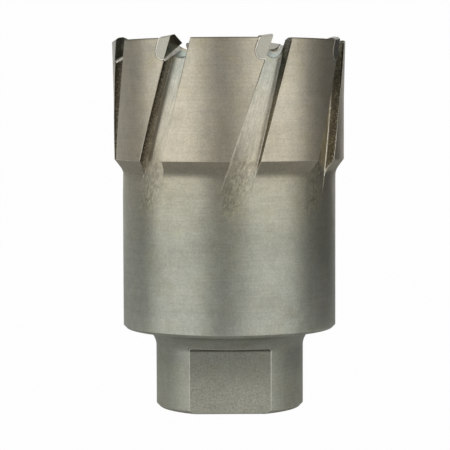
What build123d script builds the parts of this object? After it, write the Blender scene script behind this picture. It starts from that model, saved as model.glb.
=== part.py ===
from build123d import *
from math import cos, degrees, radians, sin, sqrt, tan
import os

# Carbide-tipped annular hole cutter, in millimetres.
# It stands on its shank end with the teeth up. Z is the axis of turning, and the
# origin is the centre of the shank's end face. Angles about Z start at the front, -Y.

# Heights of the turned body, measured up from the shank's end face
underside_height = 17.0
rim_height = 78.0

# The cutting radius, at the outer corners of the tips, and how far the other radii of
# the cutting end lie inside it
cut_radius = 25.0
rim_relief = 0.12
land_relief = 0.4
waist_relief = 2.2
flute_depth = 2.6
tooth_length = 5.4

# Lengths, edges and fillets of the turned body, and the shank collar
collar_radius = 15.8
land_length = 25.0
back_taper_length = 12.0
shoulder_angle = 36.0
shoulder_fillet = 3.0
waist_chamfer = 0.6
neck_fillet = 4.0
collar_chamfer = 0.65
rim_chamfer = 0.12
rim_flat = 1.5
rim_bevel_angle = 24.0
cup_depth = 52.0
cup_chamfer = 2.0

# Socket for the spindle's thread, plain at the thread's root radius
socket_radius = 9.0
socket_depth = 15.0
socket_chamfer = 0.9
drill_point_angle = 118.0

# Hole for the pilot pin, from the socket to the cup
pilot_radius = 4.0
pilot_chamfer = 0.4

# Spanner flats, milled on two sides of the collar
across_flats = 26.6
flat_height = 13.8
flat_corner = 0.5

# Teeth: eight on an uneven pitch, so that they do not chatter in step
first_tooth_angle = -71.0
tooth_pitch_angles = (42.1, 49.1, 47.5, 44.2, 44.2, 46.0, 42.5)
tooth_lean_angle = 19.2

# Chip flutes: helical channels that widen and grow shallower towards the shoulder, and
# only just mark the waist. The wall behind the tooth stands a small step in front of
# the tip's face
flute_step_angle = 0.25
flute_width_angle = 10.1
flute_back_lean_angle = 15.3
flute_runout_length = 30.5
flute_end_depth = 0.04
mill_radius = 34.0

# Carbide tips, brazed into round-bottomed slots that rise towards the axis. Their upper
# back corner is rounded too, and a bead of braze lies in the corner under the rake face
tip_thickness = 2.4
tip_round = 1.4
tip_back_length = 1.3
tip_back_round = 2.1
tip_back_turn_angle = 72.0
tip_seat_depth = 4.45
tip_seat_angle = 31.7
tip_inner_stand = 0.15
tip_back_taper_angle = 0.86
braze_gap = 0.25
braze_bead_width = 0.7
braze_bead_end_width = 0.3

# Ground form of each tip: a corner chamfer, a short outer edge, a long inner slope
tip_corner_inset = 0.5
tip_peak_inset = 1.5
tip_corner_height = 0.2
tip_shoulder_height = 0.58
tip_peak_height = 0.72
tip_inner_slope_angle = 21.4
tip_relief_angle = 8.0

# Gullets: scoops through the wall in front of each tip
gullet_width = 3.7
gullet_step = 0.28
gullet_drop_angle = 2.0
gullet_round = 2.0
gullet_flare_angle = 22.0

# How far the cutting solids reach past the metal that they take away or shape
overrun = 1.5
flute_exit_length = 7.5
slot_outward = 9.0
slot_length = 22.0
slot_height = 6.5
form_inward = 3.1
form_height = 2.2
form_depth = 13.0
form_width = 7.0
gullet_height = 9.0

rim_radius = cut_radius - rim_relief
land_radius = cut_radius - land_relief
waist_radius = cut_radius - waist_relief
flute_floor_radius = cut_radius - flute_depth
cup_radius = cut_radius - tooth_length
form_inner_radius = cup_radius - form_inward
shoulder_height = rim_height - land_length
cup_floor_height = rim_height - cup_depth
tooth_angles = [first_tooth_angle]
for pitch_angle in tooth_pitch_angles:
    tooth_angles.append(tooth_angles[-1] + pitch_angle)


def turned_blank():
    """The steel blank as it leaves the lathe: shank collar, waist, shoulder, land and cup."""
    neck_low = (collar_radius, underside_height - neck_fillet)
    neck_high = (collar_radius + neck_fillet, underside_height)

    # The fillet under the shoulder touches the waist below and the cone above
    slope = radians(shoulder_angle)
    cone_foot = shoulder_height - (land_radius - waist_radius) / tan(slope)
    fillet_run = shoulder_fillet * tan(slope / 2)
    fillet_low = (waist_radius, cone_foot - fillet_run)
    fillet_high = (waist_radius + fillet_run * sin(slope), cone_foot + fillet_run * cos(slope))

    bevel_radius = rim_radius - rim_flat
    bevel_drop = (bevel_radius - cup_radius) * tan(radians(rim_bevel_angle))
    drill_cone = (socket_radius - pilot_radius) / tan(radians(drill_point_angle / 2))
    socket_mouth = (socket_radius + socket_chamfer, 0)

    with BuildPart() as blank:
        with BuildSketch(Plane.XZ):
            with BuildLine():
                Polyline(
                    socket_mouth,
                    (collar_radius - collar_chamfer, 0),
                    (collar_radius, collar_chamfer),
                    neck_low,
                )
                RadiusArc(neck_low, neck_high, neck_fillet)
                Polyline(
                    neck_high,
                    (waist_radius - waist_chamfer, underside_height),
                    (waist_radius, underside_height + waist_chamfer),
                    fillet_low,
                )
                RadiusArc(fillet_low, fillet_high, shoulder_fillet)
                Polyline(
                    fillet_high,
                    (land_radius, shoulder_height),
                    (land_radius, rim_height - back_taper_length),
                    (rim_radius, rim_height - rim_chamfer),
                    (rim_radius - rim_chamfer, rim_height),
                    (bevel_radius, rim_height),
                    (cup_radius, rim_height - bevel_drop),
                    (cup_radius, cup_floor_height + cup_chamfer),
                    (cup_radius - cup_chamfer, cup_floor_height),
                    (pilot_radius + pilot_chamfer, cup_floor_height),
                    (pilot_radius, cup_floor_height - pilot_chamfer),
                    (pilot_radius, socket_depth + drill_cone),
                    (socket_radius, socket_depth),
                    (socket_radius, socket_chamfer),
                    socket_mouth,
                )
            make_face()
        revolve(axis=Axis.Z)
    return blank.part


def spanner_flats():
    """The metal that the two flats take off the collar, with the mill's corner radius."""
    reach = collar_radius + neck_fillet
    flat = across_flats / 2
    with BuildPart() as cutter:
        with BuildSketch(Plane.YZ.offset(-reach)):
            with BuildLine():
                Polyline(
                    (flat, flat_height - flat_corner),
                    (flat, -overrun),
                    (reach, -overrun),
                    (reach, flat_height),
                    (flat + flat_corner, flat_height),
                )
                RadiusArc((flat, flat_height - flat_corner), (flat + flat_corner, flat_height), flat_corner)
            make_face()
        extrude(amount=2 * reach)
    return [cutter.part, Rot(0, 0, 180) * cutter.part]


def around(radius, angle):
    """A point at this radius and angle, with the angle counted from the front, -Y."""
    return (radius * sin(radians(angle)), -radius * cos(radians(angle)))


def helical_pass(lean):
    """A wedge through the wall, twisted so that its sides lean by this angle at the land."""
    low = rim_height - flute_runout_length - flute_exit_length
    high = rim_height + overrun
    twist_rate = degrees(tan(radians(lean)) / land_radius)
    low_angle = flute_step_angle - twist_rate * (rim_height - low)
    high_angle = low_angle + flute_width_angle
    inner = flute_floor_radius - overrun
    outer = cut_radius + overrun
    with BuildSketch(Plane.XY.offset(low)) as section:
        with BuildLine():
            Polyline(
                around(inner, low_angle),
                around(outer, low_angle),
                around(outer, high_angle),
                around(inner, high_angle),
                close=True,
            )
        make_face()
    return Solid.extrude_linear_with_rotation(
        section.sketch.faces()[0], (0, 0, low), (0, 0, high - low), twist_rate * (high - low)
    )


def flute_cutters():
    """The two passes that mill one flute, held off the floor that they leave."""
    runout_start = rim_height - flute_runout_length
    end_radius = waist_radius - flute_end_depth
    swell = land_radius - end_radius
    runout_end = runout_start - sqrt(mill_radius**2 - (mill_radius - swell) ** 2)
    top = rim_height + form_height
    with BuildPart() as floor:
        with BuildSketch(Plane.XZ):
            with BuildLine():
                Polyline(
                    (land_radius, runout_end),
                    (0, runout_end),
                    (0, top),
                    (flute_floor_radius, top),
                    (end_radius, runout_start),
                )
                RadiusArc((end_radius, runout_start), (land_radius, runout_end), -mill_radius)
            make_face()
        revolve(axis=Axis.Z)
    return [helical_pass(lean) - floor.part for lean in (tooth_lean_angle, flute_back_lean_angle)]


# The tooth's own axes: X out along the radius, Z up the leaning rake face from the
# rim, and Y square out of that face. The seat of the tip lies square to this direction.
tooth_axes = Location((0, 0, rim_height), (0, 0, -90)) * Location((0, 0, 0), (-tooth_lean_angle, 0, 0))
seat = radians(tip_seat_angle)
seat_level = cut_radius * sin(seat) - tip_seat_depth * cos(seat)
slot_axis = tip_round - tip_thickness
slot_level = seat_level + sqrt(tip_round**2 - slot_axis**2)


def seat_foot(gap):
    """Level of the slot's lower edge in the rake face, when the slot is larger by a gap."""
    return slot_level - sqrt((tip_round + gap) ** 2 - slot_axis**2)


def slot_prism(gap):
    """A leaning slot with a round bottom and a bent back, larger than the tip by a gap."""
    round_radius = tip_round + gap
    back = slot_axis - round_radius
    back_level = slot_level + tip_back_length
    bend_axis = tip_back_round - tip_thickness
    bend_radius = tip_back_round + gap
    turn = radians(tip_back_turn_angle)
    bend_end = (bend_axis - bend_radius * cos(turn), back_level + bend_radius * sin(turn))
    bend_middle = (bend_axis - bend_radius * cos(turn / 2), back_level + bend_radius * sin(turn / 2))
    top = slot_level + slot_height
    seat_plane = Plane(origin=(0, 0, 0), x_dir=(0, 1, 0), z_dir=(cos(seat), 0, -sin(seat)))
    with BuildPart() as prism:
        with BuildSketch(seat_plane.offset(cut_radius * cos(seat) + slot_outward)):
            with BuildLine():
                Line((0, top), (0, seat_foot(gap)))
                ThreePointArc(
                    (0, seat_foot(gap)), (slot_axis, slot_level - round_radius), (back, slot_level)
                )
                Line((back, slot_level), (back, back_level))
                ThreePointArc((back, back_level), bend_middle, bend_end)
                Polyline(bend_end, (bend_end[0], top), (0, top))
            make_face()
        extrude(amount=-slot_length)
    return prism.part


def up_the_face(height):
    """Length along the leaning face for a height above the rim."""
    return height / cos(radians(tooth_lean_angle))


def ground_form():
    """The tooth's ground outline, carried back from the cutting edges at the relief angle."""
    peak = cut_radius - tip_peak_inset
    inner_height = tip_peak_height - (peak - form_inner_radius) * tan(radians(tip_inner_slope_angle))
    corner_slope = (tip_shoulder_height - tip_corner_height) / tip_corner_inset
    outside = cut_radius + overrun
    outline = (
        (outside, tip_corner_height - corner_slope * overrun),
        (cut_radius - tip_corner_inset, tip_shoulder_height),
        (peak, tip_peak_height),
        (form_inner_radius, inner_height),
        (form_inner_radius, -form_depth),
        (outside, -form_depth),
    )
    fall = radians(tooth_lean_angle + tip_relief_angle)
    with BuildPart() as form:
        with BuildSketch(Plane.XZ):
            with BuildLine():
                Polyline(*[(radius, up_the_face(height)) for radius, height in outline], close=True)
            make_face()
        extrude(amount=form_width, dir=(0, -cos(fall), -sin(fall)), both=True)
    return form.part


def tip_ring():
    """The ring between the tips' inner ends and their outer faces, with a slight back taper."""
    low = rim_height - form_depth
    high = rim_height + form_height
    inner = cup_radius - tip_inner_stand
    taper = tan(radians(tip_back_taper_angle))
    with BuildPart() as ring:
        with BuildSketch(Plane.XZ):
            with BuildLine():
                Polyline(
                    (inner, low),
                    (cut_radius - taper * form_depth, low),
                    (cut_radius + taper * form_height, high),
                    (inner, high),
                    close=True,
                )
            make_face()
        revolve(axis=Axis.Z)
    return ring.part


def gullet_floor(radius):
    """Level of the scoop's floor in the rake face, at a distance out along the tooth."""
    return (seat_foot(braze_gap) - radius * sin(seat)) / cos(seat) - gullet_step


def gullet_section(radius):
    """Outline of the scoop at a distance out along the tooth."""
    floor_left = gullet_floor(radius)
    flank = gullet_width + (flute_floor_radius - radius) * tan(radians(gullet_flare_angle))
    floor_right = floor_left - (flank - gullet_round) * tan(radians(gullet_drop_angle))
    bend = gullet_round * (1 - sqrt(0.5))
    plane = Plane(origin=(radius, 0, 0), x_dir=(0, 1, 0), z_dir=(1, 0, 0))
    with BuildSketch(plane) as section:
        with BuildLine():
            Polyline(
                (flank, floor_right + gullet_round),
                (flank, gullet_height),
                (0, gullet_height),
                (0, floor_left),
            )
            Line((0, floor_left), (flank - gullet_round, floor_right))
            ThreePointArc(
                (flank - gullet_round, floor_right),
                (flank - bend, floor_right + bend),
                (flank, floor_right + gullet_round),
            )
        make_face()
    return section.sketch.faces()[0]


def gullet_cutter():
    """The scoop in front of the tip. It rises towards the axis and flares at its back."""
    return Solid.make_loft(
        [gullet_section(radius).outer_wire() for radius in (cut_radius + braze_gap, form_inner_radius)],
        ruled=True,
    )


def braze_bead():
    """The bead of braze between rake face and gullet floor, thinner towards the outside."""
    sections = []
    for radius, width in (
        (land_radius, braze_bead_end_width),
        (cup_radius + braze_bead_width, braze_bead_width),
    ):
        level = gullet_floor(radius)
        drop = width * tan(radians(gullet_drop_angle))
        corners = ((radius, 0, level), (radius, width, level - drop), (radius, 0, level + width))
        sections.append(Wire.make_polygon(corners))
    return Solid.make_loft(sections, ruled=True)


def cut_away(solid, cutters):
    """The solid after one cut at a time."""
    for cutter in cutters:
        solid = solid - cutter
    return solid


def build():
    """Every solid of the cutter, by node name."""
    blank = turned_blank()
    flutes = flute_cutters()
    gullet = tooth_axes * gullet_cutter()
    slot = tooth_axes * slot_prism(braze_gap)
    tip_blank = tooth_axes * slot_prism(0)

    # One tooth at the front, which the others copy
    tip = tip_blank & (tooth_axes * ground_form()) & tip_ring()
    braze = (cut_away(blank, [*flutes, gullet]) & slot) - tip_blank + tooth_axes * braze_bead()

    body = cut_away(blank, spanner_flats())
    for angle in tooth_angles:
        body = cut_away(body, [Rot(0, 0, angle) * cutter for cutter in (*flutes, gullet, slot)])

    nodes = {"cutter_body": body}
    for number, angle in enumerate(tooth_angles, start=1):
        nodes[f"carbide_tip_{number}"] = Rot(0, 0, angle) * tip
        nodes[f"braze_seam_{number}"] = Rot(0, 0, angle) * braze
    return nodes


if __name__ == "__main__":
    os.makedirs("parts", exist_ok=True)
    for name, solid in build().items():
        export_step(solid, f"parts/{name}.step")
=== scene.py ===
import math

import bpy
from mathutils import Matrix


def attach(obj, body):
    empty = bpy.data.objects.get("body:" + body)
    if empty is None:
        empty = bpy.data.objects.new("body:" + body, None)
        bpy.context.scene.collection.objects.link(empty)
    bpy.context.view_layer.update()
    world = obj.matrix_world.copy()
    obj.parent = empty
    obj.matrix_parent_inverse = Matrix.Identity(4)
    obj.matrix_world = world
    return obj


# Annular hole cutter with brazed carbide tips, standing on its shank end with the teeth up.
# Metres, Z up, the origin at the centre of the shank's end face. The CAD solids give the shapes;
# this script gives them their surfaces, adds the thread in the socket and sets up a plain white studio.

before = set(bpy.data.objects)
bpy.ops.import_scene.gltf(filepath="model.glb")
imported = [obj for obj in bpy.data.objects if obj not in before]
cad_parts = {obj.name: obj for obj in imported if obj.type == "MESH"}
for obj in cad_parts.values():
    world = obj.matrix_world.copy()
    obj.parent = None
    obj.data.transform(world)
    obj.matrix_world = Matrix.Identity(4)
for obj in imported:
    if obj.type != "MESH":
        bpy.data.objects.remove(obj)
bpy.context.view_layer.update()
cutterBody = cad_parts["cutter_body"]
tips = [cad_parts[f"carbide_tip_{number}"] for number in range(1, 9)]
seams = [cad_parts[f"braze_seam_{number}"] for number in range(1, 9)]
print("stage: frame loaded")

mm = 0.001

# Settings that many nodes share
times = {"operation": "MULTIPLY"}
minus = {"operation": "SUBTRACT"}
timesPlus = {"operation": "MULTIPLY_ADD"}
larger = {"operation": "MAXIMUM"}
unsigned = {"operation": "ABSOLUTE"}
within = {"operation": "COMPARE"}
alike = {"operation": "DOT_PRODUCT"}
smooth = {"interpolation_type": "SMOOTHSTEP"}
colours = {"data_type": "RGBA"}
tinted = {"data_type": "RGBA", "blend_type": "MULTIPLY"}


# The linear colour that a shader takes, from sRGB hex
def linear(hexColour):
    parts = [int(hexColour[start:start + 2], 16) / 255 for start in (1, 3, 5)]
    return tuple(c / 12.92 if c <= 0.04045 else ((c + 0.055) / 1.055) ** 2.4 for c in parts) + (1.0,)


# One node with its settings. Its inputs take a value, a node's output, or a node, which gives its
# first output in use
def add(tree, kind, settings=None, links=None):
    node = tree.nodes.new("ShaderNode" + kind)
    for name, value in (settings or {}).items():
        setattr(node, name, value)
    for name, value in (links or {}).items():
        if isinstance(name, int):
            socket = node.inputs[name]
        else:
            socket = next(item for item in node.inputs if item.enabled and item.name == name)
        if isinstance(value, bpy.types.Node):
            value = next(item for item in value.outputs if item.enabled)
        if isinstance(value, bpy.types.NodeSocket):
            tree.links.new(value, socket)
        else:
            socket.default_value = value
    return node


def newMaterial(name):
    material = bpy.data.materials.new(name)
    material.use_nodes = True
    material.node_tree.nodes.clear()
    return material, material.node_tree


# Where a place on the part lies: radius and height in millimetres, and the angle about the axis from
# the front. Everything else that a surface knows of its places is added to the same dictionary
def measures(tree):
    place = add(tree, "TexCoord").outputs["Object"]
    axes = add(tree, "SeparateXYZ", {}, {0: place})
    level = add(tree, "CombineXYZ", {}, {"X": axes.outputs["X"], "Y": axes.outputs["Y"]})
    fromAxis = add(tree, "VectorMath", {"operation": "LENGTH"}, {0: level})
    towardsFront = add(tree, "Math", times, {0: axes.outputs["Y"], 1: -1.0})
    return {
        "place": place,
        "level": level,
        "radius": add(tree, "Math", times, {0: fromAxis, 1: 1 / mm}),
        "height": add(tree, "Math", times, {0: axes.outputs["Z"], 1: 1 / mm}),
        "depth": add(tree, "Math", times, {0: axes.outputs["Y"], 1: 1 / mm}),
        "angle": add(tree, "Math", {"operation": "ARCTAN2"}, {0: axes.outputs["X"], 1: towardsFront}),
    }


# Sizes of the solids that the surfaces follow, in mm: heights above the end face, radii from the axis
cutter = {
    "rimHeight": 78.0,
    "shoulderHeight": 53.0,
    "wallFootHeight": 50.1,  # about where the flutes' walls end on the waist
    "collarHeight": 13.9,  # just above the spanner flats
    "flatDistance": 13.3,  # of the spanner flats from the axis
    "landRadius": 24.6,
    "waistRadius": 22.8,
    "floorRadius": 22.4,  # of the flutes' floors under the gullets
    "cupRadius": 19.6,
    "toothAngles": (-71.0, -28.9, 20.2, 67.7, 111.9, 156.1, 202.1, 244.6),  # degrees from the front
}

# Hardened steel, turned on a lathe and then blasted lightly: a satin warm grey with faint rings round
# the axis. The flutes and gullets are milled, which leaves scratches along the flutes' floors and dark,
# The heat of the soldering left cool tints near the tips, and dark lines of painted shade run along the
# edges there.
steelLook = {
    # Tones by height above the end face in mm: greenish grey below, warmer towards the teeth. The ramp also
    # carries painted shade under the collar's ledge and under the shoulder, and painted light near the foot,
    # from the floor
    "tonesAndShade": (
        (0.0, "#D3D4C5"), (6.0, "#C4C6B7"), (9.4, "#B5B7A8"), (11.5, "#ADAFA3"), (16.6, "#B4B6AA"),
        (17.6, "#C2C5B8"), (22.0, "#B6B8AC"), (36.0, "#AAAB9D"), (48.0, "#AFAB99"), (50.2, "#A49F8D"),
        (51.4, "#B3AC99"), (53.2, "#BAB29F"), (66.0, "#BDB6A4"), (79.0, "#B6AF9E"),
    ),
    "fluteTone": "#AEA99A",
    "deepFluteTone": "#AFA997",
    "highFluteTone": "#9DA299",
    "runOutTone": "#AFAC97",
    "wallTone": "#716A5A",
    "wallFootLight": "#E4DBCA",
    "backWallTone": "#BBB19B",
    "highWallTone": "#7E7C6F",
    "smudgeTone": "#8F8875",
    "coolTone": "#8E9C9C",
    "strawTone": "#B5AB7D",
    "flatReflectedLight": "#E6E6D6",
    "flatSpot": "#8B7D6C",
    "ledgeShadowTone": "#4E4D43",
    "gulletTintAndSheen": "#A3B1AB",
    "cornerShadeTone": "#77725F",
    "edgeWearAndGlintTone": "#F4F1E6",
    "edgeShade": "#4A453A",
    "roughness": 0.43,
    "fluteRoughness": 0.31,
    "latheMark": 0.45,  # mm between the faint rings, drawn coarser than the real 0.1 mm so that they show
    "ringSlant": 0.83,  # how far the radius counts beside the height where the rings cross a face
    "ringWander": 1.4,  # how fast a ring changes with the angle
    "scratch": 0.32,  # mm between the milling scratches
    "scratchStretch": 0.35,  # how fast a scratch changes with each mm of height
    "feedMark": 0.55,  # mm across the rough marks of the run-outs
    "feedMarkLength": 1.3,  # mm
    "markRadius": 23.0,  # mm, turns the angle into a length round the flutes
    "helixTurn": 0.0139,  # radians per mm of height
    "edgeBreak": 0.15,  # mm, the width of a broken edge, worn and painted bright
    "collarEdgeBreak": 0.32,  # mm, the same on the collar, where spanners rub
    "edgeShadowWidth": 0.32,  # mm, the width of the painted shade along the edges near the tips
    "millCorner": 0.7,  # mm, the rounding that the mill's corner leaves along a flute's floor
    # Where the flutes leave the waist: degrees from the tooth, taken back along the helix to the end face
    "runOutTurn": -54.5,
    "runOutHalfWidth": 9.0,
    "runOutEnd": (45.2, 48.2),  # mm, heights between which a run-out fades in where no mark lowers them
    "runOutFray": 9.0,  # mm by which a rough mark lowers that end at most
    "runOutFade": (51.0, 46.5),  # mm, heights over which a run-out turns to its own tone
    "softSteps": (36.4, 49.6),  # mm, heights of the low steps beside the run-outs
    "fluteFade": (66.0, 52.0),  # mm, heights over which a flute's floor turns to its deep tone
    "coolFade": (64.0, 72.0),  # mm, heights over which it turns cool under the gullet
    "wallFade": (63.0, 72.0),  # mm, heights over which a back wall darkens
    "tintFade": (66.0, 77.0),  # mm, heights over which the heat tints grow to their full strength
    "gulletFade": (71.5, 73.0),  # mm, heights where the gullets' tint sets in
    "flatFade": (10.0, 0.0),  # mm, heights over which a spanner flat is painted lighter, as the floor's light that it reflects
    "brightEdgesBelow": 57.0,  # mm, the height up to which edges are painted bright
    "edgeShadowAbove": 63.0,  # mm, the height from which they have a line of painted shade instead
    "edgeShadowFade": (61.0, 68.0),  # mm, heights over which that line widens
    "tipFade": (66.0, 70.0),  # mm, heights over which it darkens towards the tips
    # Patterns without a direction: size in mm, detail and roughness of the noise
    "patterns": {
        "grain": (0.36, 2.0, 0.7),  # the dimples of the blasting, drawn coarser than they are
        "spots": (0.38, 3.0, 0.7),  # on the flutes' walls and the spanner flats
        "mottle": (1.7, 3.0, 0.6),
        "patches": (4.0, 2.0, 0.5),  # of the heat tints
        "smudges": (9.0, 4.0, 0.6),
    },
}


# The marks that the tools left, as patterns over the part
def toolMarks(tree, at):
    for name, (size, detail, coarseness) in steelLook["patterns"].items():
        at[name] = add(tree, "TexNoise", {}, {
            "Vector": at["place"], "Scale": 1 / (size * mm), "Detail": detail, "Roughness": coarseness})

    # Rings follow the length along the turned profile, so they show on sides and end faces alike
    profile = add(tree, "Math", timesPlus, {0: at["radius"], 1: steelLook["ringSlant"], 2: at["height"]})
    ringPlace = add(tree, "CombineXYZ", {}, {
        "X": add(tree, "Math", times, {0: profile, 1: 1 / steelLook["latheMark"]}),
        "Y": add(tree, "Math", times, {0: at["angle"], 1: steelLook["ringWander"]}),
    })
    at["rings"] = add(tree, "TexNoise", {}, {
        "Vector": ringPlace, "Scale": 1.0, "Detail": 3.0, "Roughness": 0.65})

    # Scratches follow the helix of the flutes
    at["helix"] = add(tree, "Math", timesPlus, {0: at["height"], 1: -steelLook["helixTurn"], 2: at["angle"]})
    scratchPlace = add(tree, "CombineXYZ", {}, {
        "X": add(tree, "Math", times, {0: at["helix"], 1: steelLook["markRadius"] / steelLook["scratch"]}),
        "Y": add(tree, "Math", times, {0: at["height"], 1: steelLook["scratchStretch"]}),
        "Z": at["radius"],
    })
    at["scratches"] = add(tree, "TexNoise", {}, {
        "Vector": scratchPlace, "Scale": 1.0, "Detail": 3.0, "Roughness": 0.7})

    # Rough marks lie in the run-outs of the flutes, where the mill left the waist
    feedPlace = add(tree, "CombineXYZ", {}, {
        "X": add(tree, "Math", times, {0: at["helix"], 1: steelLook["markRadius"] / steelLook["feedMark"]}),
        "Y": add(tree, "Math", times, {0: at["height"], 1: 1 / steelLook["feedMarkLength"]}),
    })
    at["feedMarks"] = add(tree, "TexNoise", {}, {
        "Vector": feedPlace, "Scale": 1.0, "Detail": 4.0, "Roughness": 0.75})


# How a place faces: away from the axis, along the turn about it, and up
def directions(tree, at):
    normal = add(tree, "TexCoord").outputs["Normal"]
    outward = add(tree, "VectorMath", {"operation": "NORMALIZE"}, {0: at["level"]})
    up = (0.0, 0.0, 1.0)
    at["alongTurn"] = add(tree, "VectorMath", {"operation": "CROSS_PRODUCT"}, {0: up, 1: outward})
    at["facingOut"] = add(tree, "VectorMath", alike, {0: normal, 1: outward})
    at["facingTurn"] = add(tree, "VectorMath", alike, {0: normal, 1: at["alongTurn"]})
    at["facingUp"] = add(tree, "SeparateXYZ", {}, {0: normal}).outputs["Z"]


# Each run-out is a tongue: the ramp is white on the middle of a flute and falls to black beside it
def runOuts(tree, at):
    turns = add(tree, "Math", times, {0: at["helix"], 1: 0.5 / math.pi})
    turns = add(tree, "Math", {"operation": "FLOORED_MODULO"}, {0: turns, 1: 1.0})
    tongue = add(tree, "ValToRGB", {}, {0: turns})
    stops = tongue.color_ramp.elements
    stops[1].color = (0.0, 0.0, 0.0, 1.0)
    for toothAngle in cutter["toothAngles"]:
        for step, level in ((-1, 0.0), (0, 1.0), (1, 0.0)):
            turned = toothAngle + steelLook["runOutTurn"] + step * steelLook["runOutHalfWidth"]
            stops.new((turned / 360) % 1).color = (level, level, level, 1.0)
    frayed = add(tree, "Math", timesPlus, {0: at["feedMarks"], 1: 0.9, 2: tongue})
    runOut = add(tree, "MapRange", smooth, {"Value": frayed, "From Min": 0.45, "From Max": 1.15})
    frayedEnd = add(tree, "Math", timesPlus, {
        0: at["feedMarks"], 1: steelLook["runOutFray"], 2: at["height"]})
    low, high = steelLook["runOutEnd"]
    reach = add(tree, "MapRange", smooth, {"Value": frayedEnd, "From Min": low, "From Max": high})
    onWaist = add(tree, "MapRange", smooth, {
        "Value": at["radius"],
        "From Min": cutter["waistRadius"] + 0.25,
        "From Max": cutter["waistRadius"] + 0.15,
    })
    belowShoulder = add(tree, "Math", minus, {0: 1.0, 1: at["aboveShoulder"]})
    for share in (reach, onWaist, at["outsideCup"], belowShoulder):
        runOut = add(tree, "Math", times, {0: runOut, 1: share})
    return runOut


# Shares from 0 to 1 that tell the regions of the cutter apart
def regions(tree, at):
    at["aboveShoulder"] = add(tree, "MapRange", smooth, {
        "Value": at["height"],
        "From Min": cutter["shoulderHeight"] - 0.2,
        "From Max": cutter["shoulderHeight"] + 0.2,
    })
    at["insideLand"] = add(tree, "MapRange", smooth, {
        "Value": at["radius"],
        "From Min": cutter["landRadius"] - 0.12,
        "From Max": cutter["landRadius"] - 0.20,
    })
    at["outsideCup"] = add(tree, "MapRange", smooth, {
        "Value": at["radius"],
        "From Min": cutter["cupRadius"] + 0.6,
        "From Max": cutter["cupRadius"] + 0.8,
    })
    at["aboveFoot"] = add(tree, "MapRange", smooth, {
        "Value": at["height"],
        "From Min": cutter["wallFootHeight"] - 0.3,
        "From Max": cutter["wallFootHeight"] + 0.3,
    })
    collarHeight = cutter["collarHeight"]
    at["onCollar"] = add(tree, "Math", {"operation": "LESS_THAN"}, {0: at["height"], 1: collarHeight})

    # Milled places lie inside the land above the shoulder, and in the run-outs below it
    at["inFlute"] = add(tree, "Math", times, {0: at["aboveShoulder"], 1: at["insideLand"]})
    at["inFlute"] = add(tree, "Math", times, {0: at["inFlute"], 1: at["outsideCup"]})
    at["runOut"] = runOuts(tree, at)

    # The flutes' side walls
    sideways = add(tree, "MapRange", smooth, {
        "Value": add(tree, "Math", unsigned, {0: at["facingOut"]}), "From Min": 0.5, "From Max": 0.2})
    upright = add(tree, "MapRange", smooth, {
        "Value": add(tree, "Math", unsigned, {0: at["facingUp"]}), "From Min": 0.75, "From Max": 0.55})
    wall = add(tree, "Math", times, {0: sideways, 1: upright})
    wall = add(tree, "Math", times, {0: wall, 1: at["aboveFoot"]})
    wall = add(tree, "Math", times, {0: wall, 1: at["outsideCup"]})

    # The mill's corner rounds the foot of each wall. On the front wall's side that rounding takes the wall's
    # colour, painted shading from dark to light, and no glint of its own
    deepInFlute = add(tree, "MapRange", smooth, {
        "Value": at["radius"],
        "From Min": cutter["floorRadius"] + 1.5,
        "From Max": cutter["floorRadius"] + 1.2,
    })
    deepInFlute = add(tree, "Math", times, {0: deepInFlute, 1: at["outsideCup"]})
    deepInFlute = add(tree, "Math", times, {0: deepInFlute, 1: at["aboveFoot"]})
    at["wearWidth"] = add(tree, "MapRange", smooth, {
        "Value": at["height"],
        "From Min": cutter["collarHeight"],
        "From Max": cutter["collarHeight"] + 0.5,
        "To Min": steelLook["collarEdgeBreak"] * mm,
        "To Max": steelLook["edgeBreak"] * mm,
    })
    cornerRadius = add(tree, "Mix", {}, {
        "Factor": deepInFlute, "A": at["wearWidth"], "B": steelLook["millCorner"] * mm})
    at["eased"] = add(tree, "Bevel", {"samples": 8}, {"Radius": cornerRadius})
    cornerTurn = add(tree, "VectorMath", alike, {0: at["eased"], 1: at["alongTurn"]})
    frontCorner = add(tree, "MapRange", smooth, {"Value": cornerTurn, "From Min": 0.04, "From Max": 0.4})
    at["frontCorner"] = add(tree, "Math", times, {0: frontCorner, 1: deepInFlute})
    at["wall"] = add(tree, "Math", larger, {0: wall, 1: at["frontCorner"]})


# Tone by height, which carries painted shade under the ledge and the shoulder and painted light near the
# foot, with tones of their own for the flutes' floors, cool under the gullets, and the run-outs
def bareSteel(tree, at):
    topHeight = steelLook["tonesAndShade"][-1][0]
    level = add(tree, "Math", times, {0: at["height"], 1: 1 / topHeight})
    tonesAndShade = add(tree, "ValToRGB", {}, {0: level})
    stops = tonesAndShade.color_ramp.elements
    for toneStop in steelLook["tonesAndShade"][1:-1]:
        stops.new(toneStop[0] / topHeight)
    for stop, toneStop in zip(stops, steelLook["tonesAndShade"]):
        stop.color = linear(toneStop[1])

    start, end = steelLook["fluteFade"]
    deepShare = add(tree, "MapRange", smooth, {"Value": at["height"], "From Min": start, "From Max": end})
    floorTone = add(tree, "Mix", colours, {
        "Factor": deepShare,
        "A": linear(steelLook["fluteTone"]),
        "B": linear(steelLook["deepFluteTone"]),
    })
    start, end = steelLook["coolFade"]
    underGullet = add(tree, "MapRange", smooth, {
        "Value": at["height"], "From Min": start, "From Max": end, "To Max": 0.6})
    floorTone = add(tree, "Mix", colours, {
        "Factor": underGullet, "A": floorTone, "B": linear(steelLook["highFluteTone"])})
    colour = add(tree, "Mix", colours, {"Factor": at["inFlute"], "A": tonesAndShade, "B": floorTone})

    start, end = steelLook["runOutFade"]
    lowShare = add(tree, "MapRange", smooth, {"Value": at["height"], "From Min": start, "From Max": end})
    runOutTone = add(tree, "Mix", colours, {
        "Factor": lowShare,
        "A": linear(steelLook["deepFluteTone"]),
        "B": linear(steelLook["runOutTone"]),
    })
    return add(tree, "Mix", colours, {"Factor": at["runOut"], "A": colour, "B": runOutTone})
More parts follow.
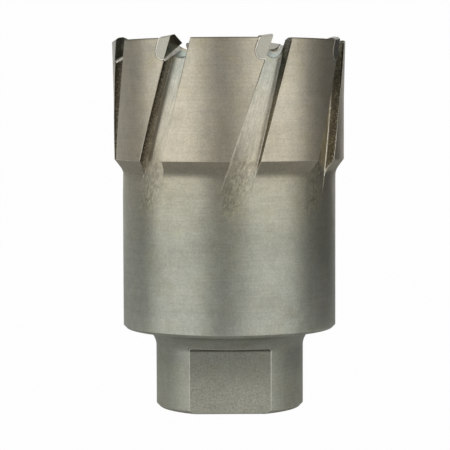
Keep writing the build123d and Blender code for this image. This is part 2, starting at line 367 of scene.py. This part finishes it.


# The walls, cut by the mill's corner, are rougher and darker than the floors. The front ones are painted
# lighter towards their foot, as the shading of the rounded corner there, and the back ones darker towards
# the tips
def paintWalls(tree, at, colour):
    start, end = steelLook["wallFade"]
    highShare = add(tree, "MapRange", smooth, {"Value": at["height"], "From Min": start, "From Max": end})
    backTone = add(tree, "Mix", colours, {
        "Factor": highShare,
        "A": linear(steelLook["backWallTone"]),
        "B": linear(steelLook["highWallTone"]),
    })
    paintedFootLight = add(tree, "MapRange", smooth, {
        "Value": at["radius"],
        "From Min": cutter["landRadius"] - 0.1,
        "From Max": cutter["waistRadius"] + 0.1,
    })
    frontTone = add(tree, "Mix", colours, {
        "Factor": paintedFootLight,
        "A": linear(steelLook["wallTone"]),
        "B": linear(steelLook["wallFootLight"]),
    })
    frontWall = add(tree, "MapRange", smooth, {"Value": at["facingTurn"], "From Min": -0.2, "From Max": 0.2})
    plainWall = add(tree, "Mix", colours, {"Factor": frontWall, "A": backTone, "B": frontTone})
    spotTop = add(tree, "MapRange", {}, {"Value": paintedFootLight, "To Min": 1.9, "To Max": 1.1})
    spotShade = add(tree, "MapRange", smooth, {
        "Value": at["spots"], "From Min": 0.44, "From Max": 0.62, "To Min": 0.66, "To Max": spotTop})
    spotColour = add(tree, "CombineColor", {}, {0: spotShade, 1: spotShade, 2: spotShade})
    wallColour = add(tree, "Mix", tinted, {"Factor": 1.0, "A": plainWall, "B": spotColour})
    return add(tree, "Mix", colours, {"Factor": at["wall"], "A": colour, "B": wallColour})


# Soft smudges all over, and faint cool and straw tints, strongest where the tips were brazed
def paintTints(tree, at, colour):
    smudgeShare = add(tree, "MapRange", smooth, {
        "Value": at["smudges"], "From Min": 0.48, "From Max": 0.80, "To Max": 0.25})
    start, end = steelLook["tintFade"]
    tintShare = add(tree, "MapRange", smooth, {
        "Value": at["height"], "From Min": start, "From Max": end, "To Min": 0.5})
    cool = add(tree, "MapRange", smooth, {
        "Value": at["patches"], "From Min": 0.52, "From Max": 0.68, "To Max": 0.12})
    straw = add(tree, "MapRange", smooth, {
        "Value": at["patches"], "From Min": 0.48, "From Max": 0.36, "To Max": 0.18})
    coolShare = add(tree, "Math", times, {0: cool, 1: tintShare})
    strawShare = add(tree, "Math", times, {0: straw, 1: tintShare})
    for share, tone in ((smudgeShare, "smudgeTone"), (coolShare, "coolTone"), (strawShare, "strawTone")):
        colour = add(tree, "Mix", colours, {"Factor": share, "A": colour, "B": linear(steelLook[tone])})
    return colour


# The spanner flats are painted lighter towards the foot, as the floor's light that they reflect, and have
# warm spots; a painted shadow lies under the ledge at their top
def paintFlats(tree, at, colour):
    fromMiddle = add(tree, "Math", unsigned, {0: at["depth"]})
    onFlat = add(tree, "Math", within, {0: fromMiddle, 1: cutter["flatDistance"], 2: 0.05})
    onFlat = add(tree, "Math", times, {0: onFlat, 1: at["onCollar"]})
    start, end = steelLook["flatFade"]
    lowShare = add(tree, "MapRange", smooth, {
        "Value": at["height"], "From Min": start, "From Max": end, "To Max": 0.75})
    spotShare = add(tree, "MapRange", smooth, {
        "Value": at["spots"], "From Min": 0.45, "From Max": 0.62, "To Max": 0.35})
    ledgeShadow = add(tree, "MapRange", smooth, {
        "Value": at["height"],
        "From Min": cutter["collarHeight"] - 1.0,
        "From Max": cutter["collarHeight"] - 0.55,
        "To Max": 0.9,
    })
    for share, tone in ((lowShare, "flatReflectedLight"), (spotShare, "flatSpot"), (ledgeShadow, "ledgeShadowTone")):
        share = add(tree, "Math", times, {0: share, 1: onFlat})
        colour = add(tree, "Mix", colours, {"Factor": share, "A": colour, "B": linear(steelLook[tone])})
    return colour


# The gullets get a cool tint: a heat tint, with the cool light that they reflect painted in. Thin lines of
# painted shade run along the corners of the rim and the foot
def paintGulletsAndCorners(tree, at, colour):
    start, end = steelLook["gulletFade"]
    gulletTintAndSheenShare = add(tree, "MapRange", smooth, {"Value": at["height"], "From Min": start, "From Max": end})
    insideFlute = add(tree, "MapRange", smooth, {
        "Value": at["radius"],
        "From Min": cutter["floorRadius"] + 0.04,
        "From Max": cutter["floorRadius"] - 0.06,
        "To Max": 0.75,
    })
    belowRim = add(tree, "MapRange", smooth, {
        "Value": at["height"],
        "From Min": cutter["rimHeight"] - 0.05,
        "From Max": cutter["rimHeight"] - 0.15,
    })
    notBevel = add(tree, "MapRange", smooth, {
        "Value": at["facingOut"], "From Min": -0.35, "From Max": -0.20})
    for share in (insideFlute, at["outsideCup"], belowRim, notBevel):
        gulletTintAndSheenShare = add(tree, "Math", times, {0: gulletTintAndSheenShare, 1: share})
    rimShade = add(tree, "MapRange", smooth, {
        "Value": at["height"],
        "From Min": cutter["rimHeight"] - 0.38,
        "From Max": cutter["rimHeight"] - 0.12,
        "To Max": 0.8,
    })
    footShadow = add(tree, "MapRange", smooth, {
        "Value": at["height"], "From Min": 0.30, "From Max": 0.08, "To Max": 0.6})
    for share, tone in ((gulletTintAndSheenShare, "gulletTintAndSheen"), (rimShade, "cornerShadeTone"), (footShadow, "cornerShadeTone")):
        colour = add(tree, "Mix", colours, {"Factor": share, "A": colour, "B": linear(steelLook[tone])})
    return colour


# The marks darken the steel a little as well as denting it
def shadeMarks(tree, at, colour):
    ringShade = add(tree, "MapRange", {}, {
        "Value": at["rings"], "From Min": 0.3, "From Max": 0.7, "To Min": 0.94, "To Max": 1.06})
    scratchShade = add(tree, "MapRange", {}, {
        "Value": at["scratches"], "From Min": 0.38, "From Max": 0.62, "To Min": 0.87, "To Max": 1.09})
    feedShade = add(tree, "MapRange", {}, {
        "Value": at["feedMarks"], "From Min": 0.38, "From Max": 0.62, "To Min": 0.70, "To Max": 1.26})
    grainShade = add(tree, "MapRange", {}, {
        "Value": at["grain"], "From Min": 0.35, "From Max": 0.65, "To Min": 0.90, "To Max": 1.10})
    mottleShade = add(tree, "MapRange", {}, {
        "Value": at["mottle"], "From Min": 0.35, "From Max": 0.65, "To Min": 0.95, "To Max": 1.05})
    shade = add(tree, "Mix", {}, {"Factor": at["inFlute"], "A": ringShade, "B": scratchShade})
    shade = add(tree, "Mix", {}, {"Factor": at["runOut"], "A": shade, "B": feedShade})
    shade = add(tree, "Math", times, {0: shade, 1: grainShade})
    shade = add(tree, "Math", times, {0: shade, 1: mottleShade})
    shadeColour = add(tree, "CombineColor", {}, {0: shade, 1: shade, 2: shade})
    return add(tree, "Mix", tinted, {"Factor": 1.0, "A": colour, "B": shadeColour})


# Edges are broken by a hair and painted bright: rubbed wear, and painted highlights, which include the
# glints in the mill's corners. Near the tips a dark line of painted shade lies along them instead, which
# grows fainter downwards
def paintEdges(tree, at, colour):
    start, end = steelLook["edgeShadowFade"]
    lineWidth = add(tree, "MapRange", smooth, {
        "Value": at["height"],
        "From Min": start,
        "From Max": end,
        "To Min": at["wearWidth"],
        "To Max": steelLook["edgeShadowWidth"] * mm,
    })
    rounded = add(tree, "Bevel", {"samples": 6}, {"Radius": lineWidth})
    plain = add(tree, "NewGeometry").outputs["Normal"]
    facing = add(tree, "VectorMath", alike, {0: rounded, 1: plain})
    inUpperHalf = add(tree, "MapRange", smooth, {
        "Value": at["height"], "From Min": steelLook["brightEdgesBelow"], "From Max": steelLook["edgeShadowAbove"]})
    belowCorner = add(tree, "MapRange", smooth, {
        "Value": at["height"],
        "From Min": cutter["rimHeight"] - 0.4,
        "From Max": cutter["rimHeight"] - 0.8,
    })

    # The collar's edges are rubbed more and painted with a wider highlight. The low steps beside the
    # run-outs are too soft to shine
    wornAndGlint = add(tree, "MapRange", smooth, {
        "Value": facing, "From Min": 0.995, "From Max": 0.955, "To Max": 0.85})
    rubbedAndGlint = add(tree, "MapRange", smooth, {
        "Value": facing, "From Min": 0.9985, "From Max": 0.975, "To Max": 0.8})
    rubbedAndGlint = add(tree, "Math", times, {0: rubbedAndGlint, 1: at["onCollar"]})
    wornAndGlint = add(tree, "Math", larger, {0: wornAndGlint, 1: rubbedAndGlint})
    wornAndGlint = add(tree, "Math", times, {0: wornAndGlint, 1: belowCorner})
    low, high = steelLook["softSteps"]
    besideRunOut = add(tree, "Math", within, {
        0: at["height"], 1: (low + high) / 2, 2: (high - low) / 2})
    for unworn in (at["frontCorner"], inUpperHalf, besideRunOut):
        wornAndGlint = add(tree, "Math", times, {0: wornAndGlint, 1: add(tree, "Math", minus, {0: 1.0, 1: unworn})})

    # A line of painted shade lies on the land, along edges that fall off in the sense of the turn or upwards
    lean = add(tree, "Math", larger, {
        0: add(tree, "VectorMath", alike, {0: rounded, 1: at["alongTurn"]}),
        1: add(tree, "SeparateXYZ", {}, {0: rounded}).outputs["Z"],
    })
    edgeShadow = add(tree, "MapRange", smooth, {"Value": lean, "From Min": 0.015, "From Max": 0.08})
    start, end = steelLook["tipFade"]
    nearTips = add(tree, "MapRange", smooth, {
        "Value": at["height"], "From Min": start, "From Max": end, "To Min": 0.25, "To Max": 0.95})
    onLand = add(tree, "Math", minus, {0: 1.0, 1: at["insideLand"]})
    for share in (onLand, nearTips, inUpperHalf, belowCorner):
        edgeShadow = add(tree, "Math", times, {0: edgeShadow, 1: share})

    colour = add(tree, "Mix", colours, {"Factor": wornAndGlint, "A": colour, "B": linear(steelLook["edgeWearAndGlintTone"])})
    return add(tree, "Mix", colours, {"Factor": edgeShadow, "A": colour, "B": linear(steelLook["edgeShade"])})


def turnedSteel():
    material, tree = newMaterial("hardened steel, turned and milled")
    at = measures(tree)
    toolMarks(tree, at)
    directions(tree, at)
    regions(tree, at)
    colour = bareSteel(tree, at)
    for paint in (paintWalls, paintTints, paintFlats, paintGulletsAndCorners, shadeMarks, paintEdges):
        colour = paint(tree, at, colour)

    # The marks and the grain dent the eased surface
    milled = add(tree, "Math", larger, {0: at["inFlute"], 1: at["runOut"]})
    markHeight = add(tree, "Mix", {}, {"Factor": milled, "A": at["rings"], "B": at["scratches"]})
    plain = add(tree, "NewGeometry").outputs["Normal"]
    # At the front corners the plain normal replaces the rounding, so that only the painted shading shows
    # there
    eased = add(tree, "Mix", {"data_type": "VECTOR"}, {
        "Factor": at["frontCorner"], "A": at["eased"], "B": plain})
    marks = add(tree, "Bump", {}, {
        "Height": markHeight, "Strength": 0.30, "Distance": 0.012 * mm, "Normal": eased})
    surface = add(tree, "Bump", {}, {
        "Height": at["grain"], "Strength": 0.30, "Distance": 0.010 * mm, "Normal": marks})

    # The milled floors shine more than the blasted rest
    roughness = add(tree, "MapRange", {}, {
        "Value": at["smudges"],
        "From Min": 0.3,
        "From Max": 0.7,
        "To Min": steelLook["roughness"] - 0.04,
        "To Max": steelLook["roughness"] + 0.05,
    })
    notWall = add(tree, "Math", minus, {0: 1.0, 1: at["wall"]})
    fluteFloor = add(tree, "Math", times, {0: at["inFlute"], 1: notWall})
    roughness = add(tree, "Mix", {}, {
        "Factor": fluteFloor, "A": roughness, "B": steelLook["fluteRoughness"]})
    shader = add(tree, "BsdfPrincipled", {}, {
        "Base Color": colour, "Metallic": 1.0, "Roughness": roughness, "Normal": surface})
    add(tree, "OutputMaterial", {}, {"Surface": shader})
    return material


# Cemented tungsten carbide, ground with a diamond wheel: a neutral grey sheen with fine parallel lines
carbideLook = {
    "ground": "#A3A195",
    "dark": "#918F84",
    "roughness": 0.28,
    "grindLine": 0.12,  # mm between the lines of the wheel, drawn coarser than they are
    "grain": 0.16,  # mm, drawn coarser than the carbide's own
    "edge": 0.06,  # mm, the width of the eased edges
}


def groundCarbide():
    material, tree = newMaterial("tungsten carbide, ground")
    at = measures(tree)
    linePlace = add(tree, "CombineXYZ", {}, {
        "X": add(tree, "Math", times, {0: at["height"], 1: 1 / carbideLook["grindLine"]}),
        "Y": add(tree, "Math", times, {0: at["radius"], 1: 0.4}),
    })
    lines = add(tree, "TexNoise", {}, {"Vector": linePlace, "Scale": 1.0, "Detail": 2.0, "Roughness": 0.6})
    grain = add(tree, "TexNoise", {}, {
        "Vector": at["place"], "Scale": 1 / (carbideLook["grain"] * mm), "Detail": 2.0, "Roughness": 0.7})
    toneShare = add(tree, "MapRange", {}, {"Value": grain, "From Min": 0.3, "From Max": 0.7})
    colour = add(tree, "Mix", colours, {
        "Factor": toneShare, "A": linear(carbideLook["dark"]), "B": linear(carbideLook["ground"])})
    roughness = add(tree, "MapRange", {}, {
        "Value": grain,
        "To Min": carbideLook["roughness"] - 0.04,
        "To Max": carbideLook["roughness"] + 0.04,
    })
    rounded = add(tree, "Bevel", {"samples": 6}, {"Radius": carbideLook["edge"] * mm})
    marks = add(tree, "Bump", {}, {
        "Height": lines, "Strength": 0.20, "Distance": 0.008 * mm, "Normal": rounded})
    shader = add(tree, "BsdfPrincipled", {}, {
        "Base Color": colour, "Metallic": 1.0, "Roughness": roughness, "Normal": marks})
    add(tree, "OutputMaterial", {}, {"Surface": shader})
    return material


# Silver solder, left as it melted: bright and pale, with soft ripples
brazeLook = {
    "bright": "#E9E6DC",
    "dull": "#CFCAB9",
    "roughness": 0.50,
    "ripple": 0.9,  # mm
}


def silverBraze():
    material, tree = newMaterial("silver solder, as melted")
    place = add(tree, "TexCoord").outputs["Object"]
    ripples = add(tree, "TexNoise", {}, {
        "Vector": place, "Scale": 1 / (brazeLook["ripple"] * mm), "Detail": 3.0, "Roughness": 0.6})
    dullShare = add(tree, "MapRange", smooth, {"Value": ripples, "From Min": 0.45, "From Max": 0.75})
    colour = add(tree, "Mix", colours, {
        "Factor": dullShare, "A": linear(brazeLook["bright"]), "B": linear(brazeLook["dull"])})
    marks = add(tree, "Bump", {}, {"Height": ripples, "Strength": 0.6, "Distance": 0.08 * mm})
    shader = add(tree, "BsdfPrincipled", {}, {
        "Base Color": colour, "Metallic": 1.0, "Roughness": brazeLook["roughness"], "Normal": marks})
    add(tree, "OutputMaterial", {}, {"Surface": shader})
    return material


steel = turnedSteel()
carbide = groundCarbide()
braze = silverBraze()
for pieces, material in (([cutterBody], steel), (tips, carbide), (seams, braze)):
    for piece in pieces:
        for slot in piece.material_slots:
            slot.material = material
print("stage: surfaces made")


# Thread in the shank's socket: four ridges that wind up the plain bore of the solid. Sizes in mm
thread = {
    "starts": 4,
    "lead": 6.0,
    "rootRadius": 9.0,
    "crestRadius": 8.2,
    "rootHalfWidth": 0.62,
    "crestHalfWidth": 0.14,
    "sunk": 0.02,  # into the bore's wall
    "foot": 1.3,
    "top": 13.6,
    "fadeTurn": 0.12,  # turns over which a ridge grows out of the wall
    "stepsPerTurn": 72,
}


def threadRidges():
    vertices, faces = [], []
    turns = (thread["top"] - thread["foot"]) / thread["lead"]
    steps = round(turns * thread["stepsPerTurn"])
    width = 4  # corners of the ridge's section
    for start in range(thread["starts"]):
        first = len(vertices)
        for count in range(steps + 1):
            turn = turns * count / steps
            angle = 2 * math.pi * (turn + start / thread["starts"])
            middle = thread["foot"] + thread["lead"] * turn
            rise = min(1.0, turn / thread["fadeTurn"], (turns - turn) / thread["fadeTurn"])
            foot = thread["rootRadius"] + thread["sunk"]
            crest = foot - (foot - thread["crestRadius"]) * rise
            section = (
                (foot, -thread["rootHalfWidth"]),
                (crest, -thread["crestHalfWidth"]),
                (crest, thread["crestHalfWidth"]),
                (foot, thread["rootHalfWidth"]),
            )
            for radius, offset in section:
                x = radius * mm * math.cos(angle)
                y = radius * mm * math.sin(angle)
                vertices.append((x, y, (middle + offset) * mm))
        for count in range(steps):
            low = first + count * width
            high = low + width
            for side in range(width - 1):
                faces.append((low + side, low + side + 1, high + side + 1, high + side))
            faces.append((low + width - 1, low, high, high + width - 1))
        faces.append(tuple(first + side for side in reversed(range(width))))
        faces.append(tuple(first + steps * width + side for side in range(width)))
    mesh = bpy.data.meshes.new("socket_thread")
    mesh.from_pydata(vertices, [], faces)
    mesh.validate()
    mesh.materials.append(steel)
    ridges = bpy.data.objects.new("socket_thread", mesh)
    bpy.context.scene.collection.objects.link(ridges)
    return ridges


socketThread = threadRidges()
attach(socketThread, "root")
print("stage: thread made")


# Studio in metres: a white floor and backdrop, two tall soft lamps in front, a weak one behind on the
# left and one above
studio = {
    "floorHalfWidth": 0.15,
    "floorFront": -0.16,
    "floorBack": 0.44,
    "backdropHalfWidth": 0.30,
    "backdropFoot": -0.01,
    "backdropTop": 0.5,
    "cardGrey": "#A8A8A6",
    "whiteForCamera": 0.985,
    "floorInMetal": 0.14,
    "backdropInMetal": 0.85,
    "worldGrey": "#8A8A8A",
    "worldStrength": 0.41,
    "aimHeight": 0.04,  # the middle of the cutter
}

# Azimuth from the front towards +X, elevation, distance, width, height, watts
lamps = {
    "lamp_left": (-55, 8, 0.55, 0.66, 0.80, 2.3),
    "lamp_right": (42, 8, 0.55, 0.66, 0.80, 2.15),
    "lamp_back": (-128, 6, 0.60, 0.42, 0.80, 0.40),
    "lamp_top": (180, 72, 0.60, 0.55, 0.55, 1.1),
}


# White card: the camera and the metal see it as a white background, and it still takes the
# cutter's shadow
def whiteCard(name, shareInMetal):
    material, tree = newMaterial(name)
    path = add(tree, "LightPath")
    inMetal = add(tree, "Math", larger, {
        0: path.outputs["Is Glossy Ray"], 1: path.outputs["Is Transmission Ray"]})
    inMetal = add(tree, "Math", times, {0: inMetal, 1: shareInMetal})
    seen = add(tree, "Math", times, {0: path.outputs["Is Camera Ray"], 1: studio["whiteForCamera"]})
    share = add(tree, "Math", larger, {0: seen, 1: inMetal})
    matt = add(tree, "BsdfDiffuse", {}, {"Color": linear(studio["cardGrey"])})
    glow = add(tree, "Emission", {}, {"Color": (1.0, 1.0, 1.0, 1.0), "Strength": 1.0})
    surface = add(tree, "MixShader", {}, {0: share, 1: matt, 2: glow})
    add(tree, "OutputMaterial", {}, {"Surface": surface})
    return material


def sheet(name, corners, material):
    mesh = bpy.data.meshes.new(name)
    mesh.from_pydata(corners, [], [(0, 1, 2, 3)])
    mesh.materials.append(material)
    card = bpy.data.objects.new(name, mesh)
    bpy.context.scene.collection.objects.link(card)
    return card


side, front, back = studio["floorHalfWidth"], studio["floorFront"], studio["floorBack"]
floorCorners = [(-side, front, 0), (side, front, 0), (side, back, 0), (-side, back, 0)]
sheet("floor", floorCorners, whiteCard("white card, floor", studio["floorInMetal"]))
side, foot, top = studio["backdropHalfWidth"], studio["backdropFoot"], studio["backdropTop"]
backdropCorners = [(-side, back, foot), (side, back, foot), (side, back, top), (-side, back, top)]
sheet("backdrop", backdropCorners, whiteCard("white card, backdrop", studio["backdropInMetal"]))

world = bpy.data.worlds.new("studio room")
world.use_nodes = True
world.node_tree.nodes.clear()
room = add(world.node_tree, "Background", {}, {
    "Color": linear(studio["worldGrey"]), "Strength": studio["worldStrength"]})
add(world.node_tree, "OutputWorld", {}, {"Surface": room})
bpy.context.scene.world = world

for name, (azimuth, elevation, distance, width, tall, power) in lamps.items():
    turn, rise = math.radians(azimuth), math.radians(elevation)
    data = bpy.data.lights.new(name, "AREA")
    data.shape = "RECTANGLE"
    data.size = width
    data.size_y = tall
    data.energy = power
    lamp = bpy.data.objects.new(name, data)
    across, up = distance * math.cos(rise), distance * math.sin(rise)
    lamp.location = (across * math.sin(turn), -across * math.cos(turn), studio["aimHeight"] + up)
    lamp.rotation_euler = (math.pi / 2 - rise, 0, turn)
    bpy.context.scene.collection.objects.link(lamp)

# Camera at the photograph's angle: above the middle of the cutter, almost level
view = {
    "place": (-3.764, -378.306, 62.426),  # mm
    "downward": 3.579,  # degrees, as the next two
    "yaw": -0.570,
    "roll": -0.178,
    "lens": 140.955,
    "sensor": 36.0,
    "shift": -0.00944,
    "clipStart": 0.01,
}
cameraData = bpy.data.cameras.new("camera")
cameraData.lens = view["lens"]
cameraData.sensor_width = view["sensor"]
cameraData.shift_x = view["shift"]
cameraData.clip_start = view["clipStart"]
camera = bpy.data.objects.new("camera", cameraData)
turned = Matrix.Rotation(math.radians(view["yaw"]), 4, "Z")
tilted = Matrix.Rotation(math.radians(90 - view["downward"]), 4, "X")
rolled = Matrix.Rotation(math.radians(view["roll"]), 4, "Z")
camera.matrix_world = Matrix.Translation([value * mm for value in view["place"]]) @ turned @ tilted @ rolled
bpy.context.scene.collection.objects.link(camera)
bpy.context.scene.camera = camera
bpy.context.scene.view_settings.view_transform = "Standard"
print("stage: studio set")
